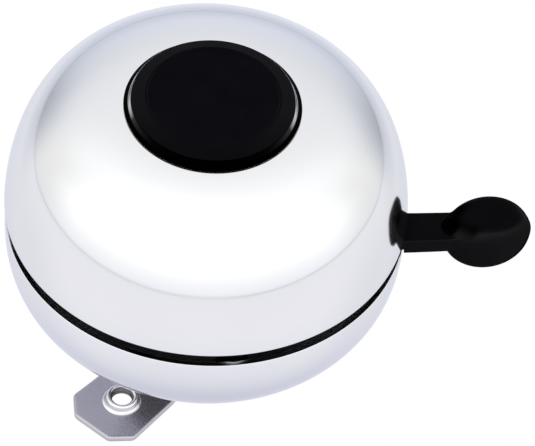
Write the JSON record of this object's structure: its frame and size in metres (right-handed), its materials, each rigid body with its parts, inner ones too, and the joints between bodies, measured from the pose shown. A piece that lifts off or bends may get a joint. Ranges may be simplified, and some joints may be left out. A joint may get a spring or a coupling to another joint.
{
  "type": "bicycle bell",
  "caption": "Two-gong bicycle bell with a domed upper gong, bowl-shaped lower gong, black cap, egg-shaped thumb lever and a handlebar saddle with threaded ears.",
  "frame": {"origin": "middle of the half-round seat that the handlebar lies in, on the handlebar's axis", "axes": "+X along the handlebar, +Z from the handlebar up through both gongs, the two ears point to +Y and -Y, the thumb lever points between +X and +Y"},
  "size_m": [0.0892, 0.0869, 0.073],
  "materials": {
    "gong_chrome": "polished chrome plate",
    "plated_steel": "bright zinc plate",
    "zinc_steel": "zinc plated",
    "stamped_steel": "stamped sheet",
    "pivot_steel": "turned",
    "dark_steel": "phosphated",
    "spring_steel": "drawn wire",
    "hammer_steel": "turned and blackened",
    "brass": "satin",
    "grip_plastic": "moulded satin black",
    "cap_plastic": "moulded black, glossy side wall",
    "white_nylon": "turned nylon",
    "fibre_washer": "vulcanised fibre"
  },
  "bodies": {
    "base": {"clamp_saddle": "plated_steel", "centre_post": "zinc_steel", "lower_gong": "gong_chrome", "lower_lock_washer": "dark_steel", "lower_nut": "zinc_steel", "lower_spacer": "zinc_steel", "mechanism_plate": "stamped_steel", "plate_nut": "zinc_steel", "lever_pivot": "pivot_steel", "hammer_pivot": "pivot_steel", "pivot_washers": "brass", "pivot_clips": "dark_steel", "stop_pins": "pivot_steel", "spring_anchor_pin": "pivot_steel", "lever_spring": "spring_steel", "upper_spacer": "white_nylon", "upper_gong": "gong_chrome", "gong_washer": "fibre_washer", "top_nut": "zinc_steel", "top_cap": "cap_plastic"},
    "lever": {"lever_arm": "stamped_steel", "thumb_grip": "grip_plastic"},
    "hammer": {"hammer_arm": "stamped_steel", "upper_hammer": "hammer_steel", "lower_hammer": "hammer_steel"}
  },
  "joints": [
    {"name": "lever_swing", "type": "hinge", "parent": "base", "child": "lever", "pos_m": [0.019, 0.00729, 0.03945], "axis": [0, 0, -1], "range_deg": [0, 26], "stiffness_Nm_per_rad": 0.03, "springref_deg": -34.38, "deforming": ["lever_spring"]},
    {"name": "hammer_swing", "type": "hinge", "parent": "base", "child": "hammer", "pos_m": [0.01195, -0.01089, 0.03945], "axis": [0, 0, 1], "range_deg": [0, 52]}
  ],
  "couplings": [
    {"joint": "hammer_swing", "follows": "lever_swing", "ratio": 2}
  ]
}
